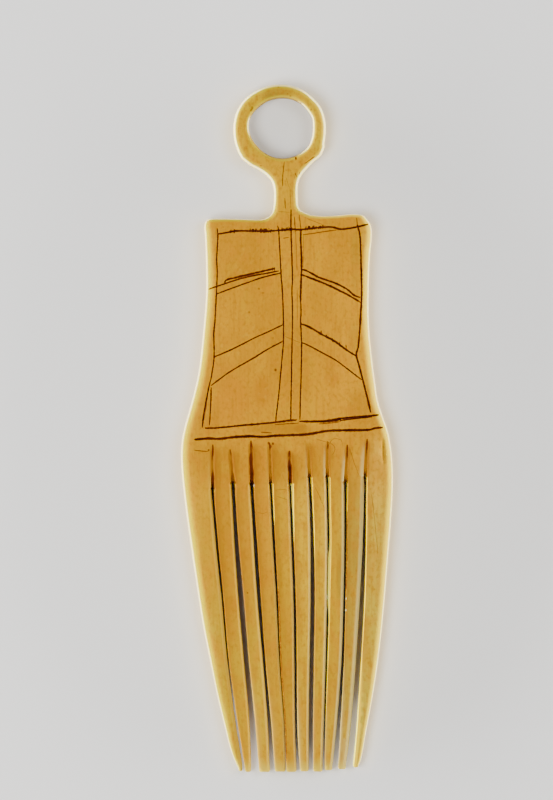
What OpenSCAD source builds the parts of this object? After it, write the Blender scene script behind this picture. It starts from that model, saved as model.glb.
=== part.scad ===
// Carved ivory comb, one piece: a hanging ring, a neck, a plate with cut lines, and ten long teeth.
// It lies on its back. +Y runs from the teeth to the ring, +X to the right, +Z out of the carved face.
// The tables are drawn for a comb of the nominal size, and the driving sizes stretch them.

/* [Comb] */
// Length from the tips of the teeth to the top of the ring
comb_l = 120.4; // [112:0.2:130]
// Width across the widest place, just below the top of the teeth
comb_w = 37.1; // [34:0.1:40]
// Thickness of the plate
plate_t = 4.0; // [3.6:0.1:5]
// Radius of the rounded outer edges
edge_r = 1.4; // [0.6:0.1:1.6]

/* [Ring] */
// Radius of the ring's outer edge
ring_r = 8.2; // [7.8:0.1:8.6]
// Radius of the hole that the cord goes through
hole_r = 5.5; // [4.8:0.1:5.7]
// Thickness of the ring and of the neck
ring_t = 3.6; // [3:0.1:3.6]
// Depth and width of the flare at each lip of the hole
lip = 0.8; // [0.4:0.1:1]

/* [Teeth] */
// Width of the bevel along both edges of every slot
tooth_bevel = 0.3; // [0.1:0.05:0.4]
// Part of the thickness that a saw groove has at the place where the slot breaks through
groove_reach = 0.55; // [0.52:0.01:0.6]

/* [Carving] */
// Depth of the cut lines
line_d = 0.22; // [0.1:0.02:0.4]
// Width of the cut lines
line_w = 0.34; // [0.2:0.02:0.5]

/* [Hidden] */

// Size of the comb that the tables are drawn for
table_l = 120.4;
table_w = 37.1;
sx = comb_w / table_w;
sy = comb_l / table_l;

// Steps of each rounded edge, of the long curves between two rows, and of the full circles
arc_steps = 4;
row_steps = 3;
$fn = 72;

// How far a cutter reaches past the surface that it opens
past = 0.5;

// Ring: the hole sits a little higher and further right than the ring's outer edge
ring_x = -1.3 * sx;
ring_y = comb_l / 2 - ring_r;
hole_x = ring_x + 0.2;
hole_y = ring_y + 0.5;
ring_z = (plate_t - ring_t) / 2;

// Rows of the plate and the teeth, from the shoulders to the tips.
// Columns: place along the comb, rise at the right edge, left edge, right edge,
// height of the back, share of the plate's thickness
PLATE = [
    [ 36.9, 0.40, -13.0,  12.7, 0.95, 0.52],
    [ 36.6, 0.40, -13.8,  13.7, 0.40, 0.80],
    [ 35.8, 0.35, -14.3,  14.5, 0.06, 0.97],
    [ 34.2, 0.10, -14.5,  14.7, 0.00, 1.00],
    [ 31.0, 0.00, -14.3,  14.7, 0.00, 1.00],
    [ 25.0, 0.00, -14.2,  14.2, 0.00, 1.00],
    [ 17.5, 0.00, -14.6,  14.2, 0.00, 1.00],
    [ 11.5, 0.00, -15.2,  14.8, 0.00, 1.00],
    [  6.0, 0.00, -16.4,  15.6, 0.00, 1.00],
    [  1.5, 0.00, -17.7,  16.9, 0.00, 1.00],
    [ -2.5, 0.00, -18.5,  17.8, 0.00, 1.00],
    [ -6.5, 0.00, -18.5,  18.4, 0.00, 1.00],
    [-10.5, 0.00, -18.2,  18.5, 0.00, 1.00],
    [-18.0, 0.00, -17.2,  18.0, 0.00, 0.97],
    [-27.0, 0.00, -15.9,  17.3, 0.00, 0.92],
    [-36.0, 0.00, -14.5,  16.5, 0.00, 0.86],
    [-45.0, 0.00, -12.7,  15.3, 0.10, 0.76],
    [-53.0, 0.00, -10.9,  14.0, 0.30, 0.62],
    [-58.0, 0.20,  -9.5,  12.9, 0.45, 0.52],
    [-59.4, 0.35,  -8.9,  12.4, 0.58, 0.43],
    [-59.95, 0.35, -8.3,  11.8, 0.80, 0.32]
];

// Rows of the neck, from inside the ring to inside the plate, in the same columns
NECK = [
    [ 46.0, 0.00,  -5.4,   3.0, 0.00, 0.90],
    [ 44.3, 0.00,  -4.0,   2.4, 0.00, 0.90],
    [ 43.2, 0.00,  -2.9,   1.9, 0.00, 0.90],
    [ 40.8, 0.00,  -2.3,   1.7, 0.00, 0.90],
    [ 38.6, 0.00,  -2.5,   2.0, 0.00, 0.90],
    [ 37.6, 0.00,  -3.0,   2.9, 0.00, 0.90],
    [ 36.9, 0.10,  -4.1,   4.8, 0.00, 0.90],
    [ 36.3, 0.20,  -6.2,   7.2, 0.00, 0.90],
    [ 34.6, 0.20,  -6.6,   7.6, 0.00, 0.90]
];
neck_back = ring_z;

// Places along the comb where the slots are drawn, below the place where each breaks through.
// The last one is past the tips
SLOT_Y = [-19.6, -30.1, -40.6, -51.1, -57.6, -61.5];

// One row for each slot, from left to right.
// Columns: head of its saw groove across and along the comb, where it breaks through,
// its middle there and at each of the places, its width there and at each of the places
SLOTS = [
    [[-13.0, -2.9], -10.5, [-13.0, -12.3, -11.2, -10.3,  -8.9,  -7.8,  -7.2], [0.35, 0.45, 0.35, 0.30, 0.35, 0.35, 0.40]],
    [[ -9.9, -3.6],  -9.6, [ -9.4,  -8.8,  -8.0,  -7.1,  -6.1,  -5.7,  -5.5], [0.60, 0.70, 0.95, 0.90, 0.95, 1.30, 1.60]],
    [[ -6.3, -2.2],  -9.8, [ -6.2,  -5.6,  -4.9,  -4.0,  -3.1,  -2.7,  -2.4], [0.45, 0.60, 0.60, 0.45, 0.60, 0.75, 0.90]],
    [[ -3.0, -2.4],  -9.6, [ -2.9,  -2.3,  -1.7,  -1.2,  -0.5,  -0.2,   0.0], [0.30, 0.45, 0.35, 0.25, 0.20, 0.20, 0.20]],
    [[  0.4, -3.8],  -9.6, [  0.5,   0.9,   1.4,   1.5,   1.6,   1.9,   2.2], [0.30, 0.45, 0.45, 0.45, 0.45, 0.60, 0.90]],
    [[  3.7, -2.3],  -8.5, [  3.9,   4.4,   4.5,   4.3,   4.2,   4.1,   4.1], [0.35, 0.60, 0.80, 0.80, 0.80, 0.80, 0.85]],
    [[  7.1, -2.3],  -8.5, [  7.1,   7.2,   7.2,   6.9,   6.6,   6.4,   6.2], [0.30, 0.35, 0.35, 0.30, 0.30, 0.40, 0.50]],
    [[ 10.6, -2.8],  -9.4, [ 10.3,  10.2,  10.1,   9.8,   9.1,   8.6,   8.0], [0.45, 0.35, 0.40, 0.45, 0.70, 0.90, 1.10]],
    [[ 14.0, -1.8],  -8.4, [ 13.7,  13.5,  13.1,  12.5,  11.8,  11.1,  10.3], [0.35, 0.60, 0.80, 0.90, 0.95, 1.10, 1.30]]
];

// Steps of a saw groove. Columns: how far along it, part of its full depth, part of its full width
GROOVE = [[0, 0.02, 0.15], [0.15, 0.16, 0.55], [0.5, 0.5, 0.85], [1.06, 1, 1]];
groove_w = 0.6;

// The short groove right of the last slot, begun and left: its two ends and its depth
STARTER = [[16.9, -1.4], [16.9, -6.2]];
starter_d = 0.5;

// Cut lines of the carved face, each a few straight strokes of the graver
LINES = [
    // top line, left and right side lines
    [[-12.1, 34.1], [-8.9, 34.6], [-1.5, 34.5], [7.0, 35.1], [9.1, 34.8], [13.8, 35.5]],
    [[-12.2, 34.9], [-12.3, 25.1], [-12.8, 16.0], [-12.7, 12.8], [-13.5, 7.6], [-14.9, 0.6]],
    [[12.2, 36.2], [12.9, 29.8], [12.8, 16.0], [12.2, 12.7], [14.6, 2.9]],
    // the three upright lines in the middle
    [[-1.6, 35.4], [-0.8, 23.0], [-0.6, 15.5], [-2.0, 1.1]],
    [[0.6, 41.5], [1.0, 29.4], [0.9, 14.4], [0.6, 1.4]],
    [[2.2, 37.0], [2.6, 27.9], [2.4, 15.5], [2.2, 1.6]],
    // upper slanting lines, left and right
    [[-10.7, 25.8], [-7.0, 27.0], [-2.1, 27.9]],
    [[-13.4, 24.5], [-8.7, 25.8], [-1.4, 27.5]],
    [[-12.1, 23.4], [-7.6, 25.2], [-1.5, 26.8]],
    [[2.7, 27.7], [6.7, 25.9], [8.9, 25.1], [12.1, 22.9]],
    [[2.7, 26.8], [7.7, 24.9], [12.7, 22.0]],
    // lower slanting lines, left and right
    [[-0.7, 18.0], [-5.5, 15.9], [-12.6, 12.5]],
    [[-0.7, 15.2], [-6.7, 11.8], [-13.2, 7.5]],
    [[2.6, 18.3], [7.7, 15.7], [12.2, 12.6]],
    [[2.6, 14.9], [7.7, 12.3], [13.0, 8.6]],
    // the two lines above the teeth
    [[-14.4, 0.0], [-7.8, 0.5], [1.6, 1.4]],
    [[2.2, 1.2], [5.9, 1.2], [15.6, 2.3]],
    [[-16.1, -1.9], [-6.7, -1.4], [2.4, -1.2], [9.3, -0.3], [16.7, 0.1]]
];

// Point on a smooth curve between the rows a and b, with p before and q after them
function between(p, a, b, q, t) =
    (2 * a + (b - p) * t + (2 * p - 5 * a + 4 * b - q) * t * t + (3 * a - p - 3 * b + q) * t * t * t) / 2;

// A table's rows with smooth rows added between them
function smooth(table, steps) = [
    for (i = [0 : len(table) - 2])
    for (s = [0 : steps - 1])
        between(table[max(i - 1, 0)], table[i], table[i + 1], table[min(i + 2, len(table) - 1)], s / steps),
    table[len(table) - 1]
];

// Height of the back and of the face at a place along the comb
function back_z(y) = lookup(y, [for (row = PLATE) [row[0] * sy, row[4]]]);
function face_z(y) = lookup(y, [for (row = PLATE) [row[0] * sy, row[4] + row[5] * plate_t]]);

// Rounded rectangle across the comb at one row
function section(row, lift) =
    let (
        left = row[2] * sx,
        right = row[3] * sx,
        back = max(row[4], 0) + lift,
        face = back + min(row[5], 1) * plate_t,
        r = min(edge_r, (face - back) / 2 - 0.05),
        corners = [[right - r, face - r, 0], [left + r, face - r, 90], [left + r, back + r, 180], [right - r, back + r, 270]]
    )
    [
        for (c = corners)
        for (i = [0 : arc_steps])
        let (
            turn = c[2] + 90 * i / arc_steps,
            x = c[0] + r * cos(turn)
        )
        [x, row[0] * sy + row[1] * x / right, c[1] + r * sin(turn)]
    ];

// Corner numbers of the two triangles between two rings of n points, for point j of ring i
function strip(i, j, n) =
    let (a = i * n + j, b = i * n + (j + 1) % n)
    [[a, a + n, b], [b, a + n, b + n]];

// Solid through rings of n points each, closed by the faces cap at its first ring and its last
module loft(rings, cap) {
    n = len(rings[0]);
    last = (len(rings) - 1) * n;
    polyhedron(
        points = [for (ring = rings) each ring],
        faces = concat(
            cap,
            [for (i = [0 : len(rings) - 2], j = [0 : n - 1]) each strip(i, j, n)],
            [for (face = cap) [for (k = [len(face) - 1 : -1 : 0]) last + face[k]]]
        )
    );
}

// Plate or neck through the rows of its table
module body(table, lift) {
    rings = [for (row = smooth(table, row_steps)) section(row, lift)];
    loft(rings, [[for (j = [0 : len(rings[0]) - 1]) j]]);
}

// Round blank of the ring, with its outer edge rounded
module ring_blank() {
    r = edge_r * 0.8;
    translate([ring_x, ring_y, ring_z])
        rotate_extrude() {
            square([ring_r - r, ring_t]);
            translate([0, r]) square([ring_r, ring_t - 2 * r]);
            for (z = [r, ring_t - r])
                translate([ring_r - r, z]) circle(r, $fn = 32);
        }
}

// Cutter for the hole, flared at both lips
module cord_hole() {
    translate([hole_x, hole_y, ring_z]) {
        translate([0, 0, -past]) cylinder(r = hole_r, h = ring_t + 2 * past);
        translate([0, 0, -past]) cylinder(r1 = hole_r + lip + past, r2 = hole_r, h = lip + past);
        translate([0, 0, ring_t - lip]) cylinder(r1 = hole_r, r2 = hole_r + lip + past, h = lip + past);
    }
}

// Section of a slot: straight walls in the middle and a bevel at the face and at the back
function slot_ring(x, y, w) =
    let (
        side = w / 2,
        wide = side + tooth_bevel + past,
        face = face_z(y),
        back = back_z(y)
    )
    [
        [x - wide, y, face + past],
        [x - side, y, face - tooth_bevel],
        [x - side, y, back + tooth_bevel],
        [x - wide, y, back - past],
        [x + wide, y, back - past],
        [x + side, y, back + tooth_bevel],
        [x + side, y, face - tooth_bevel],
        [x + wide, y, face + past]
    ];

// Cutter for one slot, from the place where it breaks through to past the tips
module slot(row) {
    ys = concat([row[1]], SLOT_Y);
    places = smooth([for (i = [0 : len(ys) - 1]) [row[2][i] * sx, ys[i] * sy, row[3][i]]], 2);
    loft(
        [for (p = places) slot_ring(p[0], p[1], p[2])],
        [[0, 1, 6, 7], [1, 2, 5, 6], [2, 3, 4, 5]]
    );
}

// Cutter for a saw groove in the face (side = 1) or the back (side = -1) from one point to another
module groove(from, to, depth, side) {
    rings = [
        for (g = GROOVE)
        let (
            x = from[0] + (to[0] - from[0]) * g[0],
            y = from[1] + (to[1] - from[1]) * g[0],
            top = side > 0 ? face_z(y) : back_z(y),
            wide = groove_w / 2 * g[2] * (1 + past / (depth * g[1] + past))
        )
        [[x - wide * side, y, top + past * side], [x + wide * side, y, top + past * side], [x, y, top - depth * g[1] * side]]
    ];
    loft(rings, [[2, 1, 0]]);
}

// The two saw grooves that lead into a slot, one on each side
module saw_grooves(row) {
    from = [row[0][0] * sx, row[0][1] * sy];
    to = [row[2][0] * sx, row[1] * sy];
    for (side = [1, -1])
        groove(from, to, plate_t * groove_reach, side);
}

// Flat shape of a cut line through a few points, as straight strokes that are pointed at both ends
module cut_line(points) {
    side = line_w / 2;
    for (i = [0 : len(points) - 2]) {
        a = [points[i][0] * sx, points[i][1] * sy];
        b = [points[i + 1][0] * sx, points[i + 1][1] * sy];
        reach = norm(b - a) / 2;
        translate((a + b) / 2)
            rotate(atan2(b[1] - a[1], b[0] - a[0]))
            polygon([
                [-reach - line_w, 0], [-reach, -side], [reach, -side],
                [reach + line_w, 0], [reach, side], [-reach, side]
            ]);
    }
}

// Cutter for all the lines of the carved face
module carving() {
    translate([0, 0, plate_t - line_d])
        linear_extrude(line_d + past)
        for (points = LINES)
            cut_line(points);
}

// The whole comb, cut from one piece
module comb() {
    color([0.82, 0.62, 0.27])
    difference() {
        union() {
            body(PLATE, 0);
            body(NECK, neck_back);
            ring_blank();
        }
        cord_hole();
        for (row = SLOTS) {
            slot(row);
            saw_grooves(row);
        }
        groove([STARTER[0][0] * sx, STARTER[0][1] * sy], [STARTER[1][0] * sx, STARTER[1][1] * sy], starter_d, 1);
        carving();
    }
}

comb();
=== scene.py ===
import math
import random

import bpy
import numpy as np
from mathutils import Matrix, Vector, kdtree, noise
from mathutils.geometry import delaunay_2d_cdt


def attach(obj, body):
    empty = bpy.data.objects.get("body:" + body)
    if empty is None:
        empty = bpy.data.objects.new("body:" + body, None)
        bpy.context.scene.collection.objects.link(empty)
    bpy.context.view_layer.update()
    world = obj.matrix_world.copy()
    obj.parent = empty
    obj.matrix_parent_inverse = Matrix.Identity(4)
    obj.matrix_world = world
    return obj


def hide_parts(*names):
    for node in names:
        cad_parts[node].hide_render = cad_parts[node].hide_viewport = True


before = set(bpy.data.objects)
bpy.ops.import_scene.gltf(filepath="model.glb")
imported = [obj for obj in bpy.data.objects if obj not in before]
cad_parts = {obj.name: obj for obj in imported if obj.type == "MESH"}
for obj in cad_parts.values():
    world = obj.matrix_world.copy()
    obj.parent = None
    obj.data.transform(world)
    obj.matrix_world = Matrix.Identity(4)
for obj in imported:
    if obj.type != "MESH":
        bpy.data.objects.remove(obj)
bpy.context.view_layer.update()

# Camera. It looks straight down on the carved face of the comb, which lies on its back,
# through a lens that shows 140 mm along the long side of the picture.
MM = 0.001
SEEN_LEVEL = 3.0 * MM
CAMERA_HEIGHT = 1.2
SENSOR = 36.0
LONG_SIDE = 0.140
VIEW_CENTRE = (-1.84 * MM, 4.94 * MM)


def placed(name, data):
    """A new object of the scene, which shows the given data."""
    made = bpy.data.objects.new(name, data)
    bpy.context.scene.collection.objects.link(made)
    return made


camera_data = bpy.data.cameras.new("camera")
camera_data.sensor_width = SENSOR
camera_data.lens = SENSOR * CAMERA_HEIGHT / LONG_SIDE
camera = placed("camera", camera_data)
camera.location = (*VIEW_CENTRE, SEEN_LEVEL + CAMERA_HEIGHT)
bpy.context.scene.camera = camera

# Outline of the blank. The comb was cut from one flat slice of tusk: a ring on a neck,
# square shoulders, a waist, and a wider lower end from which the teeth narrow to the tips.
# All outlines are in millimetres and run with the ivory on their left.
RING_CENTRE = (-1.3, 52.0)
HOLE_CENTRE = (-1.1, 52.5)
# Columns of a circle: angle in degrees, radius
RING_RADII = [
    (-31, 8.42), (-15, 8.14), (0, 8.1), (20, 8.26), (31, 8.34), (45, 8.22), (60, 8.24), (90, 8.17),
    (118, 8.18), (146, 8.3), (170, 8.17), (185, 8.1), (205, 8.14), (216, 8.2),
]
HOLE_RADII = [
    (0, 5.61), (18, 5.74), (32, 5.6), (60, 5.47), (90, 5.25), (114, 5.25), (135, 5.33), (162, 5.63),
    (181, 5.58), (198, 5.4), (220, 5.17), (245, 5.16), (275, 5.29), (303, 5.5), (325, 5.75), (343, 5.68),
]
RING_ROUND = 0.95
HOLE_ROUND = 0.7
# Columns of a side: across, along, breadth of the worn edge
LEFT_SIDE = [
    (-7.9, 47.1, 1), (-6.5, 46, 1), (-5, 45.2, 1), (-3.7, 44.3, 1), (-2.75, 43.2, 0.95),
    (-2.35, 41.9, 0.9), (-2.3, 40, 0.9), (-2.5, 38, 0.9), (-3.1, 37.1, 0.8), (-4, 36.6, 0.7),
    (-5.2, 36.5, 0.6), (-8, 36.6, 0.6), (-11.4, 36.7, 0.7), (-13.6, 36.65, 0.9), (-14.25, 36.2, 1.1),
    (-14.5, 35.3, 1.3), (-14.4, 34, 1.4), (-14.3, 32, 1.4), (-14.2, 29, 1.5), (-14.15, 24.5, 1.5),
    (-14.35, 20.7, 1.5), (-14.7, 16.8, 1.5), (-15, 13.7, 1.5), (-15.5, 9.8, 1.5), (-16.3, 6.2, 1.5),
    (-17.1, 3.2, 1.5), (-18, 0, 1.5), (-18.5, -2.8, 1.5), (-18.55, -6, 1.5), (-18.2, -10.3, 1.5),
    (-17.5, -16.1, 1.5), (-16.7, -21.7, 1.5), (-15.9, -27.1, 1.4), (-14.8, -34.1, 1.3), (-13.7, -39.7, 1.2),
    (-12.3, -46.5, 1), (-10.9, -52.3, 0.9), (-10, -55.9, 0.7), (-9, -58.6, 0.5), (-8.5, -59.6, 0.35),
]
RIGHT_SIDE = [
    (12.55, -59, 0.3), (12.9, -58.2, 0.45), (13.3, -56.4, 0.55), (13.95, -52.7, 0.7), (14.7, -48.7, 0.8),
    (15.6, -43.3, 1), (16.4, -37.1, 1.1), (17.1, -30.1, 1.2), (17.6, -23.9, 1.2), (18.1, -17.8, 1.3),
    (18.45, -12.6, 1.3), (18.55, -8.7, 1.3), (18.4, -5.2, 1.3), (18, -2.1, 1.3), (17.5, 0, 1.3),
    (16.7, 2.3, 1.4), (15.9, 4.9, 1.4), (15.5, 7.6, 1.4), (15.05, 10.9, 1.4), (14.7, 14.1, 1.4),
    (14.45, 16.7, 1.4), (14.3, 20.7, 1.4), (14.35, 25.1, 1.4), (14.45, 28.7, 1.3), (14.6, 31, 1.3),
    (14.8, 32.9, 1.2), (14.85, 34.5, 1.2), (14.6, 35.7, 1.1), (14.1, 36.4, 1), (13.55, 37.05, 0.9),
    (12.8, 37.4, 0.7), (11, 37.45, 0.6), (8.9, 37.25, 0.6), (6.2, 37.15, 0.6), (4.2, 37.35, 0.7),
    (2.85, 37.85, 0.8), (2.05, 38.6, 0.9), (1.9, 40, 0.9), (1.85, 41.7, 0.9), (2.05, 43.2, 0.95),
    (2.7, 44.5, 1), (3.7, 45.65, 1), (4.7, 46.65, 1), (5.6, 47.3, 1),
]
EDGE_STEP = 0.42
TURN_STEP = 2.0
CURVE_PARTS = 12
# kinds of edge
WORN, SAWN = 1.0, 0.0


def smooth_path(rows, step):
    """Rows about step apart on a smooth curve through the given rows, which start with the place."""
    rows = np.array(rows, dtype=float)
    ends = np.vstack([2 * rows[0] - rows[1], rows, 2 * rows[-1] - rows[-2]])
    fine = []
    for before, start, end, after in zip(ends, ends[1:], ends[2:], ends[3:]):
        bend = 2 * before - 5 * start + 4 * end - after
        twist = 3 * start - before - 3 * end + after
        for t in np.linspace(0, 1, CURVE_PARTS, endpoint=False):
            fine.append(0.5 * (2 * start + (end - before) * t + bend * t ** 2 + twist * t ** 3))
    fine = np.array(fine + [rows[-1]])
    along = np.concatenate([[0], np.cumsum(np.hypot(*np.diff(fine[:, :2], axis=0).T))])
    places = np.linspace(0, along[-1], max(2, round(along[-1] / step) + 1))
    return np.column_stack([np.interp(places, along, column) for column in fine.T])


def round_path(centre, radii, start, end, breadth, step):
    """Rows along an uneven circle from one angle to another, its radii given at a few angles."""
    angles, lengths = np.array(radii, dtype=float).T
    angles = np.concatenate([angles - 360, angles, angles + 360])
    lengths = np.tile(lengths, 3)
    turns = np.linspace(start, end, round(abs(math.radians(end - start)) * lengths.mean() / step) + 1)
    smooth = smooth_path(np.column_stack([angles, lengths]), TURN_STEP)
    reach = np.interp(turns, smooth[:, 0], smooth[:, 1])
    return np.column_stack([
        centre[0] + reach * np.cos(np.radians(turns)),
        centre[1] + reach * np.sin(np.radians(turns)),
        np.full(len(turns), breadth),
    ])


ring_edge = round_path(RING_CENTRE, RING_RADII, RING_RADII[0][0], RING_RADII[-1][0], RING_ROUND, EDGE_STEP)
hole_edge = round_path(HOLE_CENTRE, HOLE_RADII, 360, 0, HOLE_ROUND, EDGE_STEP)[:-1]
left_edge = smooth_path(LEFT_SIDE, EDGE_STEP)
right_edge = smooth_path(RIGHT_SIDE, EDGE_STEP)

# Teeth. Nine slots were sawn up from the lower edge, from both faces, so each ends in a narrow
# groove that runs out on the plate. The saw wandered, and the teeth differ in width and bend.
SLOT_PLACES = [-19.6, -30.1, -40.6, -51.1, -57.6, -61.5]
# Columns of a slot: head of its groove, where it breaks through, its middle there and at each place,
# its width there and at each place, breadth of the bevel on the left, breadth and length of the flank on the
# right where the saw leaned over and strength of its painted highlight, and the colours round it: soot down
# the groove and its half width, amber there, a painted cream highlight on the bevel, and painted brown shade
# on the right above and below
SLOTS = [
    ((-13, -2.9), -10.5, (-13, -12.3, -11.25, -10.3, -8.9, -7.85, -7.3),
     (0.35, 0.44, 0.36, 0.28, 0.34, 0.36, 0.38), 0.8, 0.3, 1.3, 0.2,
     (0.9, 0.5, 0.2, 0.8, 0.9), 0.26, 0.8, 0.5, (0.8, 0.9)),
    ((-9.9, -3.6), -9.6, (-9.45, -8.85, -8, -7.1, -6.1, -5.7, -5.5),
     (0.5, 0.72, 0.95, 0.88, 1, 1.25, 1.6), 0.55, 0.3, 1.3, 0.2,
     (0.6, 0.3, 0.35, 0.4, 0.4), 0.28, 1, 0.1, (0.8, 0.8)),
    ((-6.3, -2.2), -9.8, (-6.15, -5.55, -4.85, -4, -3.1, -2.7, -2.4),
     (0.45, 0.6, 0.62, 0.45, 0.6, 0.8, 1), 0.7, 0.3, 1.3, 0.2,
     (0.7, 0.5, 0.8, 0.85, 0.8), 0.36, 0.8, 0.1, (1, 0.9)),
    ((-3, -2.4), -9.6, (-2.85, -2.3, -1.7, -1.25, -0.5, -0.25, -0.1),
     (0.3, 0.44, 0.33, 0.2, 0.12, 0.1, 0.1), 0.45, 0.35, 8, 0.6,
     (0.7, 0.3, 0.25, 0.3, 0.2), 0.25, 1, 0.4, (0.8, 0.9)),
    ((0.4, -3.8), -9.6, (0.55, 0.95, 1.35, 1.5, 1.6, 1.85, 2.15),
     (0.3, 0.44, 0.44, 0.44, 0.44, 0.55, 0.75), 0.45, 0.5, 11, 1,
     (0.8, 0.35, 1, 1, 0.3), 0.34, 1, 0.4, (1, 0.7)),
    ((3.7, -2.3), -8.5, (3.95, 4.4, 4.5, 4.35, 4.2, 4.2, 4.2),
     (0.3, 0.6, 0.76, 0.79, 0.79, 0.79, 0.82), 0.55, 0.35, 16, 0.6,
     (0.1, 0.1, 0.1, 0.15, 0.2), 0.25, 0.9, 0.5, (0.6, 0.55)),
    ((7.1, -2.3), -8.5, (7.05, 7.25, 7.15, 6.9, 6.6, 6.45, 6.4),
     (0.3, 0.36, 0.34, 0.3, 0.3, 0.36, 0.42), 0.55, 0.42, 46, 0.7,
     (0.9, 0.25, 0.15, 0.15, 0.2), 0.22, 1, 0.9, (0.3, 0.5)),
    ((10.6, -2.8), -9.4, (10.25, 10.2, 10.05, 9.75, 9.1, 8.6, 8.15),
     (0.4, 0.34, 0.38, 0.45, 0.66, 0.9, 1.1), 0.65, 0.25, 20, 0.3,
     (0.9, 0.6, 0.2, 0.1, 0.2), 0.24, 1, 0.8, (0.3, 0.8)),
    ((14, -1.8), -8.4, (13.7, 13.5, 13.1, 12.5, 11.75, 11.1, 10.5),
     (0.3, 0.52, 0.8, 0.86, 0.95, 1.15, 1.45), 0.85, 0.25, 70, 0.5,
     (0.9, 0.65, 0.2, 0.15, 0.2), 0.23, 1, 1, (0.3, 0.5)),
]
TIPS = [-60.1, -60.2, -60.2, -60.15, -60.2, -60.1, -60.15, -59.9, -59.7, -59.4]
# how strong the painted cream highlight and the painted highlight of the flank are on the left edge of the
# tooth beyond each slot towards its tip
TIP_CREAM = [0.2, 1.0, 0.7, 0.0, 0.7, 0.3, 0.3, 0.6, 1.3]
TIP_FLANK_HIGHLIGHT = [0, 0, 0, 0, 0, 0, 0, 0, 1]
TIP_ROUND = 0.3
# corners of a tip: size, at most this part of the tooth's breadth, how far their ends lie inside it
TIP_CORNER, CORNER_PART, CORNER_INSET = 0.3, 0.35, 0.02
CORNER_CUT = 0.3
TIP_PARTS = (0.4, 0.6)
WALL_END = 1.5 * TIP_CORNER
SLOT_STEP = 0.6
PATH_STEP = 0.3
HEAD_WIDTH = 0.1
# a little below its head a groove is this part of its length down and this part of the slot's width
NECK_PLACE, NECK_WIDTH = 0.12, 0.6
# the round upper end of a slot: how far across it and how far below its top
SLOT_ROOF = [(-0.48, 0.25), (-0.3, 0.07), (0, 0), (0.3, 0.07), (0.48, 0.25)]
SHARP_BEVEL = 0.07
HEAD_SPREAD, MORE_SPREAD = 0.7, 0.3
SAW_WANDER, SAW_PACE, SAW_SEED = 0.035, 0.7, 5.0
# the seventh slot nearly closes on part of its length: middle and half length of that part, how much narrower
PINCHED_SLOT = 6
PINCH_PLACE, PINCH_REACH = -26.6, 5.4
PINCH = 0.22


class Slot:
    """A sawn slot and the groove above it: where its middle runs, and how wide it is."""

    def __init__(self, row):
        self.head, self.top, middles, widths, self.left, self.right, self.fade, self.clear, *stains_and_light = row
        self.soot, self.reach, self.amber, self.cream, self.shades = stains_and_light
        self.number = SLOTS.index(row)
        neck = [h + (t - h) * NECK_PLACE for h, t in zip(self.head, (middles[0], self.top))]
        rows = [(*self.head, HEAD_WIDTH), (*neck, NECK_WIDTH * widths[0])]
        rows += zip(middles, [self.top, *SLOT_PLACES], widths)
        self.path = smooth_path(rows, PATH_STEP)[::-1]
        pinched = np.exp(-((self.path[:, 1] - PINCH_PLACE) / PINCH_REACH) ** 6)
        self.closed = PINCH * pinched * (self.number == PINCHED_SLOT)
        self.path[:, 0] -= self.closed / 2
        self.path[:, 2] -= self.closed

    def middle(self, y):
        return np.interp(y, self.path[:, 1], self.path[:, 0])

    def width(self, y):
        return np.interp(y, self.path[:, 1], self.path[:, 2])

    def pinch(self, y):
        """How much narrower the slot is where it nearly closes."""
        return np.interp(y, self.path[:, 1], self.closed)

    def sawn(self, y):
        """How far the saw went in: from 0 at the head of the groove to 1 where it broke through."""
        return np.clip((self.head[1] - y) / (self.head[1] - self.top), 0, 1)

    def lean(self, y):
        """How far the saw leaned over to the right: 1 above the break-through, and less down the slot."""
        return np.clip(1 - np.maximum(self.top - y, 0) / self.fade, 0, 1)

    def bevel(self, side, y):
        """Breadth of the bevel on the left side (-1) or the right side (1)."""
        right = SHARP_BEVEL + (self.right - SHARP_BEVEL) * self.lean(y) + self.pinch(y)
        return np.where(side < 0, self.left, right)

    def spread(self, side, y):
        """Breadth of the bevel, which is narrower towards the head of the groove."""
        return self.bevel(side, y) * (HEAD_SPREAD + MORE_SPREAD * self.sawn(y))

    def wall(self, side, y):
        """Place on the left wall or the right wall, uneven as the saw left it."""
        breadth = float(self.bevel(side, y))
        shake = SAW_WANDER * noise.noise((self.middle(y), y * SAW_PACE, SAW_SEED + side))
        return (self.middle(y) + side * self.width(y) / 2 + shake, y, breadth, SAWN)

    def outline(self, left_tip, right_tip):
        """Rows up the left wall, round the head and down the right wall."""
        places = np.arange(self.top - SLOT_STEP, SLOT_PLACES[-1], -SLOT_STEP)
        left = [self.wall(-1, y) for y in places if y > left_tip + WALL_END]
        right = [self.wall(1, y) for y in places if y > right_tip + WALL_END]
        x, y, w = self.middle(self.top), self.top, self.width(self.top)
        roof = [(x + part * w, y - drop, float(self.bevel(part, y)), SAWN) for part, drop in SLOT_ROOF]
        return left[::-1] + roof + right


def tooth_tip(start, end, y):
    """Rows across the blunt tip of a tooth, between the last row of one side and the first of the other."""
    a, b = start[0], end[0]
    corner = min(TIP_CORNER, (b - a) * CORNER_PART)
    cut = CORNER_CUT * corner
    breadth = min(start[2], end[2], TIP_ROUND)
    rows = [(a + CORNER_INSET, y + corner), (a + cut, y + cut), (a + corner, y)]
    rows += [(a + (b - a) * part, y) for part in TIP_PARTS if corner < (b - a) * part < b - a - corner]
    rows += [(b - corner, y), (b - cut, y + cut), (b - CORNER_INSET, y + corner)]
    return [(*row, breadth, WORN) for row in rows]


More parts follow.
